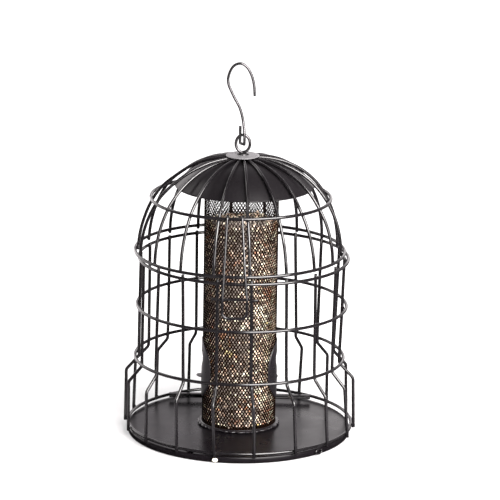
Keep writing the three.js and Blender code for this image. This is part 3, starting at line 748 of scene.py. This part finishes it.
def mesh_shell():
    """Expanded metal bent to a tube. Each opening is a diamond; its four corners stand at the
    outer and the inner face, strands join the facing edges of neighbours in the next row, and a
    knuckle fills the space between four openings. Strands and knuckles inside the mouths of the
    seed ports are left out."""
    low, high = height_range("mesh_tube")
    across, rows = 72, 97    # openings round the tube and up it; odd, so both ends are alike
    pitch = TURN / across
    rise = (high - low) / (rows + 1)
    row = np.arange(rows)[:, None]
    column = np.arange(across)[None, :]
    angle = (column + 0.5 * (row % 2)) * pitch
    height = low + (row + 1) * rise + 0 * column
    bare = np.clip((height - 218) / 6, 0, 1)      # the openings are larger over the seed
    wide, tall = (0.30 + 0.10 * bare) * pitch, (0.60 + 0.20 * bare) * rise
    # corners: right, top, left, bottom, of the outer face and then of the inner one
    offsets = [(wide, 0, -0.10), (0, tall, -0.22), (-wide, 0, -0.10), (0, -tall, 0.22)]
    layers = [polar(TUBE_R + tilt - depth, angle + aside, height + up)
              for depth in (0.0, 0.28) for aside, up, tilt in offsets]
    # rims: a point over each opening and each knuckle, top and bottom, outside and inside
    rims = [polar(TUBE_R - depth, np.arange(2 * across) * 0.5 * pitch, z)
            for z in (high, low) for depth in (-0.1, 0.85)]
    points = np.concatenate([np.stack(layers, axis=2).reshape(-1, 3)] + rims)

    def index(r, c, corner, inner=0):
        return (r * across + c % across) * 8 + corner + 4 * inner

    def rim(top, inner, place):
        start = angle.size * 8 + (2 - 2 * top + inner) * 2 * across
        return start + place % (2 * across)

    quads = []

    def add(keep, *corners):
        quads.append(np.stack([np.broadcast_to(c, keep.shape)[keep] for c in corners], axis=1))

    def both(keep, *corners):
        """A face outside and its twin inside."""
        add(keep, *[index(*c) for c in corners])
        add(keep, *[index(*c, 1) for c in corners][::-1])

    def wall(keep, one, two):
        """A face from outside to inside, wound against the faces that it meets."""
        add(keep, index(*one), index(*one, 1), index(*two, 1), index(*two))

    cut = (np.abs(np.sin(angle)) * TUBE_R / 10.6)**2 + ((height - (PORT_Z + 9)) / 8.6)**2 < 1
    whole_row = np.ones((1, across), bool)
    # strands: an edge of each opening faces one of the opening up to its right, then to its left
    lower = row[:-1]
    strands = []
    for step, near, far in ((0, (0, 1), (3, 2)), (-1, (1, 2), (0, 3))):
        beyond = column + lower % 2 + step
        keep = ~(cut[:-1] & cut[lower + 1, beyond % across])
        corners = [(lower, column, near[0]), (lower + 1, beyond, far[0]),
                   (lower + 1, beyond, far[1]), (lower, column, near[1])]
        both(keep, *corners)
        strands.append((keep, beyond, near, far, corners))
    # walls of the openings, left out where the strand beyond is gone
    for keep, _, near, _, _ in strands:
        wall(np.concatenate([keep, whole_row]), (row, column, near[0]), (row, column, near[1]))
    for keep, beyond, _, far, _ in strands:
        facing = np.ones(cut.shape, bool)
        facing[lower + 1, beyond % across] = keep
        wall(facing, (row, column, far[1]), (row, column, far[0]))
    # knuckles: right of each opening, over the top of the one below and under the one above
    middle = row[1:-1]
    below = column + middle % 2
    gone = (cut[1:-1] & np.roll(cut, -1, axis=1)[1:-1] & cut[middle - 1, below % across]
            & cut[middle + 1, below % across])
    both(~gone, (middle, column, 0), (middle - 1, below, 1), (middle, column + 1, 2),
         (middle + 1, below, 3))
    # ends of strands that are gone, also where the knuckle beside them is gone
    for keep, _, _, _, corners in strands:
        wall(~keep, *corners[:2])
        wall(~keep, *corners[2:])
    # rims: two faces over each opening and one over the knuckle to its right
    for inner in (0, 1):
        for top, end, next_row, tip in ((1, rows - 1, rows - 2, 1), (0, 0, 1, 3)):
            before, over, after = (rim(top, inner, 2 * column + k) for k in (-1, 0, 1))
            right, peak, left = (index(end, column, k, inner) for k in (0, tip, 2))
            beside, beyond = index(end, column + 1, 2, inner), index(next_row, column, tip, inner)
            faces = [(right, after, over, peak), (peak, over, before, left), (right, beyond, beside, after)]
            if not top:
                faces = [faces[1][::-1], faces[0][::-1], (right, after, beside, beyond)]
            for face in faces:
                add(whole_row, *face[::-1 if inner else 1])
    around = np.arange(2 * across)[None, :]
    for top in (1, 0):
        add(np.ones(around.shape, bool), rim(top, 1 - top, around), rim(top, 1 - top, around + 1),
            rim(top, top, around + 1), rim(top, top, around))
    used = np.concatenate(quads)
    names, compact = np.unique(used, return_inverse=True)
    return Shell(points[names], compact.reshape(used.shape))


def in_tube(shell, angle=LEFT_TURN):
    """A shell turned and settled as the tube is."""
    shell.points = settled(turned_by(shell.points, angle), TUBE_SET)
    return shell


def build_mesh():
    piece("mesh", in_tube(mesh_shell()), "mesh", "cage", "mesh_tube", angle=60)


def build_cup():
    """Screw cap at the foot of the tube: a flange with grip ribs and a low collar."""
    low, reach, bore = height_range("tube_base_cup")[0], reach_of("tube_base_cup"), 2.8
    outline = soft_outline([
        (bore, low), (reach - 0.8, low), (reach, low + 0.5), (reach - 0.25, low + 1.5),
        (reach - 1.4, low + 1.9), (TUBE_R + 1.2, low + 2.1), (TUBE_R + 0.9, low + 2.6),
        (TUBE_R + 0.3, low + 2.6), (TUBE_R + 0.3, low + 1.6), (bore, low + 1.6),
    ], 0.4)
    near_rim = np.exp(-((outline[:, :1] - reach) / 1.8)**2)

    def grips(a):
        uneven = a + 0.05 * np.sin(5 * a) + 0.03 * np.sin(11 * a + 1)
        return near_rim * (1.3 * np.abs(np.sin(17 * uneven)) - 1.0)

    piece("foot_cap", in_tube(turned(outline, 384, grips)), "moulded", "cage", "tube_base_cup", angle=40)


def port_shell(lip_reach):
    """Moulded plate round a mouth, bent to the tube. It swells a little below the mouth, and a
    lip, half an ellipse, stands out there."""
    steps, lip_steps = 72, 24
    a = np.arange(steps) * TURN / steps
    mouth = np.stack([10 * np.cos(a), 9 + 8 * np.sin(a)], axis=1)
    plate = np.stack([26.5 * np.cos(a), 30.5 * np.sin(a)], axis=1)
    # shares of the way from the mouth to the edge, and heights over the tube
    strip = np.array([(0, 0.3), (0, 0.7), (0.03, 0.95), (0.10, 1.0), (0.25, 0.9), (0.45, 0.8), (0.65, 0.8),
                      (0.85, 0.8), (0.94, 1.0), (0.98, 0.8), (1.0, 0.25)])
    share, lift = strip[:, :1], strip[:, 1:]
    flat = mouth[None] * (1 - share[..., None]) + plate[None] * share[..., None]
    swell = 0.5 * np.exp(-(flat[..., 0] / 9)**2 - ((flat[..., 1] + 15) / 8)**2) * (lift > 0.4)
    points = polar(TUBE_R + lift + swell, flat[..., 0] / (TUBE_R + 1), PORT_Z + flat[..., 1])
    ring = Shell(points, grid_faces(len(strip), steps, True, True))
    b = np.linspace(-TURN / 4, TURN / 4, lip_steps)
    edge = soft_outline([(0.0, -0.5), (1.0, -0.35), (1.0, 0.35), (0.0, 0.5)], 0.12, steps=3)
    far, rise = edge[:, :1], edge[:, 1:]
    points = np.stack(np.broadcast_arrays(
        TUBE_R + 0.6 + lip_reach * np.cos(b) * far, 6.5 * np.sin(b) * (0.35 + 0.65 * far),
        PORT_Z - 9.6 + rise + 0.5 * far * np.cos(b)), axis=-1)
    starts = np.arange(len(edge)) * lip_steps
    ends = np.array([starts, (starts + lip_steps - 1)[::-1]])
    return joined(ring, Shell(points, grid_faces(len(edge), lip_steps, True, False), ends))


def build_ports():
    for name, start, lip_reach in (("left", TURN / 2, 5.4), ("right", 0.0, 1.3)):
        shell = in_tube(port_shell(lip_reach), start + LEFT_TURN)
        piece(f"port_{name}", shell, "moulded", "cage", f"seed_port_{name}", angle=45)


# Seed

# Kinds of grain: half length, half width, half thickness, tone, and share of the mix
GRAINS = [
    ((1.35, 1.2, 1.1), (1.00, 0.73, 0.54), 0.60),      # pale millet
    ((1.3, 1.15, 1.05), (0.45, 0.18, 0.09), 0.06),     # red millet
    ((3.4, 1.6, 1.2), (0.020, 0.010, 0.006), 0.09),    # black sunflower
    ((3.6, 1.5, 1.1), (0.56, 0.43, 0.33), 0.07),       # striped sunflower
    ((2.3, 1.5, 1.3), (0.95, 0.74, 0.56), 0.15),       # safflower
    ((1.9, 1.6, 1.2), (0.42, 0.17, 0.05), 0.03),       # cracked maize
    ((1.9, 1.7, 1.5), (0.24, 0.11, 0.06), 0.05),       # sorghum
    ((1.6, 1.5, 1.4), (0.55, 0.46, 0.18), 0.004),      # split pea
]
# Patches of one kind, some where that kind has gathered and some painted light and shade: degrees to the
# right of the view, height, kind and size
# painted shade: the black grains at the left, down the middle and along the top; painted light: the pale
# grains at the right
PATCHES_OF_KIND_AND_PAINTED_LIGHT = [
    (-40, 226, 2, 13), (-14, 226, 2, 13), (8, 226, 2, 12), (32, 226, 2, 8), (-58, 185, 2, 17),
    (-66, 130, 2, 19), (-58, 80, 2, 15), (-66, 30, 2, 16), (-34, 200, 2, 12), (-14, 176, 5, 8),
    (-12, 186, 6, 10), (-4, 163, 2, 17), (4, 192, 2, 15), (-6, 136, 2, 18), (2, 114, 2, 16),
    (0, 88, 2, 15), (8, 64, 2, 14), (-6, 24, 2, 17), (4, 10, 6, 10), (8, 212, 2, 14), (45, 190, 1, 7),
    (30, 200, 0, 16), (34, 158, 4, 18), (42, 120, 4, 20), (52, 112, 7, 6), (40, 84, 0, 22),
    (46, 40, 4, 22), (58, 20, 1, 10), (-26, 105, 5, 8), (-20, 92, 7, 8), (14, 36, 5, 7), (50, 150, 1, 9),
    (-22, 52, 2, 10), (56, 62, 0, 16),
]


def grain_kinds(angle, height, chance):
    """Kind of each grain: by chance, but mostly a patch's own kind inside the patch. Some patches paint
    light and shade with pale and black grains.
    """
    shares = np.array([kind[2] for kind in GRAINS])
    kinds = chance.choice(len(GRAINS), size=angle.shape, p=shares / shares.sum())
    for degrees, z, kind, size in PATCHES_OF_KIND_AND_PAINTED_LIGHT:
        place = math.radians(degrees) - TURN / 4 + LEFT_TURN
        turn = np.abs((angle - place + math.pi) % TURN - math.pi) * TUBE_R
        near = np.exp(-(turn**2 + (height - z)**2) / size**2)
        kinds = np.where(chance.uniform(size=angle.shape) < 0.75 * near, kind, kinds)
    return kinds


def heap_top(x, y):
    """Height of the seed: lower at the back, with slow lumps."""
    return 221.5 - 0.13 * y + 1.6 * np.sin(x / 9 + 1) + 1.2 * np.sin(y / 7) * np.cos(x / 6)


def build_seed():
    """Grains lie against the inside of the mesh and over the top of the heap; under them is a
    lumpy column."""
    chance = np.random.default_rng(7)
    across, step, jitter, heaped = 62, 3.15, 0.34, 210
    inside_mesh = 36.48
    low = height_range("seed_fill")[0] + 1.2
    r, c = np.meshgrid(np.arange(int((230 - low) / step)), np.arange(across), indexing="ij")
    angle = (c + 0.5 * (r % 2) + chance.uniform(-jitter, jitter, r.shape)) * TURN / across
    height = low + np.maximum(r + chance.uniform(-jitter, jitter, r.shape), 0) * step
    wall = polar(35.0 + chance.uniform(-0.6, 0.4, r.shape), angle, height)
    keep = height < heap_top(wall[..., 0], wall[..., 1]) - 0.5
    heap_radius = 32.5 * np.sqrt(chance.uniform(0, 1, heaped))
    heap = polar(heap_radius, chance.uniform(0, TURN, heaped), 0.0)
    heap[:, 2] = heap_top(heap[:, 0], heap[:, 1]) - 0.4
    places = np.concatenate([wall[keep], heap])
    normal = np.concatenate([polar(1.0, angle, 0.0)[keep], np.broadcast_to(UP, heap.shape)])
    kinds = grain_kinds(np.arctan2(places[:, 1], places[:, 0]), places[:, 2], chance)
    sizes = np.array([kind[0] for kind in GRAINS])[kinds] * chance.uniform(0.9, 1.2, (len(kinds), 1))
    normal = unit(normal + chance.normal(0, 0.22, normal.shape))
    lead = unit(np.cross(normal, unit(chance.normal(0, 1, normal.shape))))
    axes = np.stack([np.cross(normal, lead) * sizes[:, 1:2], normal * sizes[:, 2:],
                     lead * sizes[:, :1]], axis=1)
    shape = ball(6, 4)
    grains = scattered(shape, places, axes)
    reach = np.hypot(grains.points[:, 0], grains.points[:, 1])
    grains.points[:, :2] *= np.minimum(1, inside_mesh / reach)[:, None]
    grains.points = settled(grains.points, TUBE_SET)
    tones = np.array([kind[1] for kind in GRAINS])[kinds] * chance.uniform(0.62, 1.5, (len(kinds), 1))
    tones = np.repeat(np.clip(tones, 0, 1), len(shape.points), axis=0)
    paint_tones(piece("grains", grains, "seed", "cage", angle=80), tones)
    build_column()


def paint_tones(made, tones):
    # the tones carry the husks' own colour and also painted light and shade
    layer = made.data.color_attributes.new("husk_tone_and_painted_light", "FLOAT_COLOR", "POINT")
    layer.data.foreach_set("color", np.concatenate([tones, np.ones((len(tones), 1))], axis=1).ravel())


def build_column():
    """The seed behind the grains: a column whose wall and top are lumpy, coloured very dark as painted shade
    in the gaps between the grains.
    """
    low = height_range("seed_fill")[0]
    sides, rows, lid_scales = 96, 84, (0.7, 0.35, 0.05)
    angle = np.arange(sides) * TURN / sides
    share = np.linspace(0, 1, rows)[:, None]
    radius = 33.6 + 0.5 * np.sin(31 * angle + 40 * share) * np.sin(90 * share + 3 * angle)
    wall = polar(radius, angle, 0.0)
    rings = [wall] + [wall[-1:] * scale for scale in lid_scales]
    for ring in rings[1:]:
        ring[..., 2] = heap_top(ring[..., 0], ring[..., 1]) - 1.2
    top = heap_top(wall[-1, :, 0], wall[-1, :, 1]) - 1.2
    wall[..., 2] = low + share * (top - low)
    rows += len(lid_scales)
    points = settled(np.concatenate(rings).reshape(-1, 3), TUBE_SET)
    column = Shell(points, grid_faces(rows, sides, False, True), lids(rows, sides))
    made = piece("seed_column_painted_shade", column, "seed", "cage", "seed_fill", angle=80)
    chance = np.random.default_rng(8)
    # painted shade: a dark red-brown tone for the shade between the grains
    tones = np.array([0.040, 0.016, 0.008]) * chance.uniform(0.3, 1.4, (len(made.data.vertices), 1))
    paint_tones(made, tones)


def build_stray_grain():
    """One grain caught between the wall of the tray and the foot of an upright."""
    out = polar(1.0, wire_angle(COUNT - 1), 0.0)
    side = np.cross(UP, out)
    place = out * (FOOT_R - 1.4) + side * 3.3 + UP * 3.6
    axes = np.stack([UP * 1.9, out * 1.5, side * 2.9])[None]
    made = piece("stray_grain", scattered(ball(16, 9), place[None], axes), "seed", "cage")
    paint_tones(made, np.tile([0.80, 0.74, 0.58], (len(made.data.vertices), 1)))


def finish_carried_over():
    """Solids that stay as they are get their own finish."""
    steel = MATERIALS["steel"]
    for node in ("eye_nut", "tube_screw", "wing_nut"):
        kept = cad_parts[node]
        if not kept.material_slots:
            kept.data.materials.append(steel)
        for held in kept.material_slots:
            held.material = steel


# Stage

TINT = colour(1.0, 0.94, 0.975)


def bare_tree(holder):
    """The nodes of a material or world, emptied."""
    holder.use_nodes = True
    holder.node_tree.nodes.clear()
    return holder.node_tree


def plain_stage_material():
    """White paper: what the camera sees is white, and it still takes the shadow. Reflections see
    it bright close in front of the object and behind it to the left, and dim elsewhere."""
    material = bpy.data.materials.new("white_paper")
    tree = bare_tree(material)
    path = put(tree, "ShaderNodeLightPath").outputs
    seen = sums(tree, "MAXIMUM", path["Is Camera Ray"], path["Is Transmission Ray"])
    tone = mixed(tree, path["Is Camera Ray"], colour(0.86, 0.86, 0.87), colour(0.32, 0.315, 0.32))
    paper = put(tree, "ShaderNodeBsdfDiffuse", {"Color": tone})
    spot = put(tree, "ShaderNodeTexCoord").outputs["Object"]
    x, y, _ = put(tree, "ShaderNodeSeparateXYZ", {0: spot}).outputs
    reach = put(tree, "ShaderNodeVectorMath", {0: spot}, operation="LENGTH").outputs["Value"]
    own_light = sums(tree, "MULTIPLY", seen, ramp(tree, reach, 0.13, 0.30, 0.42, 1.0))
    glow = put(tree, "ShaderNodeEmission", {"Color": colour(1, 1, 1), "Strength": own_light})
    both = put(tree, "ShaderNodeAddShader", {0: glow.outputs[0], 1: paper.outputs[0]})
    aside = sums(tree, "ABSOLUTE", sums(tree, "ADD", x, 0.02))
    near = sums(tree, "MULTIPLY", ramp(tree, reach, 0.13, 0.19, 0.0, 1.0),
                ramp(tree, reach, 0.24, 0.36, 1.5, 0.0), ramp(tree, y, -0.04, 0.06, 1.0, 0.0),
                ramp(tree, aside, 0.035, 0.07, 0.0, 1.0))
    behind = sums(tree, "MULTIPLY", ramp(tree, y, 0.0, 0.25, 0.0, 1.0),
                  ramp(tree, x, -0.25, 0.2, 1.0, 0.12))
    level = sums(tree, "ADD", near, ramp(tree, x, 0.1, 0.5, 0.0, 0.12), behind, 0.03)
    mirrored = put(tree, "ShaderNodeEmission", {"Color": TINT, "Strength": level})
    shown = put(tree, "ShaderNodeMixShader", {0: path["Is Glossy Ray"], 1: both.outputs[0],
                                              2: mirrored.outputs[0]})
    put(tree, "ShaderNodeOutputMaterial", {"Surface": shown.outputs[0]})
    return material


def build_floor():
    mesh = bpy.data.meshes.new("floor")
    size, below = 9.0, 0.0003
    mesh.from_pydata([(-size, -size, 0), (size, -size, 0), (size, size, 0), (-size, size, 0)], [],
                     [(0, 1, 2, 3)])
    mesh.materials.append(plain_stage_material())
    floor = linked("floor", mesh)
    floor.location.z = -below


def build_world():
    """White for the camera; for reflections white straight behind the object and nearly black in
    front; a plain soft light for everything else."""
    world = bpy.data.worlds.new("studio")
    bpy.context.scene.world = world
    tree = bare_tree(world)
    path = put(tree, "ShaderNodeLightPath").outputs
    direction = put(tree, "ShaderNodeSeparateXYZ", {0: put(tree, "ShaderNodeTexCoord").outputs["Generated"]})
    depth = ramp(tree, direction.outputs[1], 0.35, 0.92, 0.02, 1.05)
    mirrored = sums(tree, "MAXIMUM", path["Is Glossy Ray"], path["Is Transmission Ray"])
    level = put(tree, "ShaderNodeMix", {0: mirrored, 2: 0.55, 3: depth}).outputs[0]
    level = put(tree, "ShaderNodeMix", {0: path["Is Camera Ray"], 2: level, 3: 1.05}).outputs[0]
    tone = mixed(tree, mirrored, colour(1, 1, 1), TINT)
    back = put(tree, "ShaderNodeBackground", {"Color": tone, "Strength": level})
    put(tree, "ShaderNodeOutputWorld", {"Surface": back.outputs[0]})


def aimed(name, data, azimuth, elevation, distance, height):
    """A lamp or camera turned to a height on the upright axis. Azimuth 0 is in front of the
    feeder, 90 to its right."""
    a, e = math.radians(azimuth), math.radians(elevation)
    away = Vector((math.sin(a) * math.cos(e), -math.cos(a) * math.cos(e), math.sin(e)))
    made = linked(name, data)
    made.location = Vector((0, 0, height)) + away * distance
    made.rotation_mode = "QUATERNION"
    made.rotation_quaternion = (-away).to_track_quat("-Z", "Y")
    return made


def soft_box(name, azimuth, elevation, distance, width, height, watts):
    lamp = bpy.data.lights.new(name, "AREA")
    lamp.shape = "RECTANGLE"
    lamp.size, lamp.size_y = width, height
    lamp.energy = watts
    lamp.color = (1.0, 0.965, 0.95)
    aimed(name, lamp, azimuth, elevation, distance, 0.17)


def build_camera():
    """The photograph's own viewpoint."""
    roll = math.radians(0.86)
    data = bpy.data.cameras.new("camera")
    data.lens, data.sensor_width = 266.3, 36
    data.shift_x, data.shift_y = 0.0174, 0.073
    data.clip_end = 60
    camera = aimed("camera", data, 3.5, 15.4, 3.699, 0.15)
    camera.rotation_quaternion = camera.rotation_quaternion @ Quaternion((0, 0, 1), roll)
    bpy.context.scene.camera = camera


for build in (
    build_camera, build_cage, build_dome, build_cap, build_baffle, build_eye, build_hook, build_hinges,
    build_latch, build_tray, build_bar, build_clip, build_mesh, build_cup, build_ports, build_seed,
    build_stray_grain, finish_carried_over, build_floor, build_world,
):
    build()
soft_box("key_box", 34, 31, 1.5, 1.25, 0.8, 120)
soft_box("low_box", 34, 3, 1.6, 1.25, 0.5, 27)
soft_box("top_box", 34, 64, 1.5, 0.45, 0.5, 8)
soft_box("left_top_box", -112, 42, 1.5, 0.5, 0.5, 4)
soft_box("back_left_box", -130, 12, 1.6, 1.6, 0.9, 10)
soft_box("back_right_box", 166, 12, 1.2, 0.6, 0.36, 0.9)
bpy.context.scene.view_settings.view_transform = "Standard"
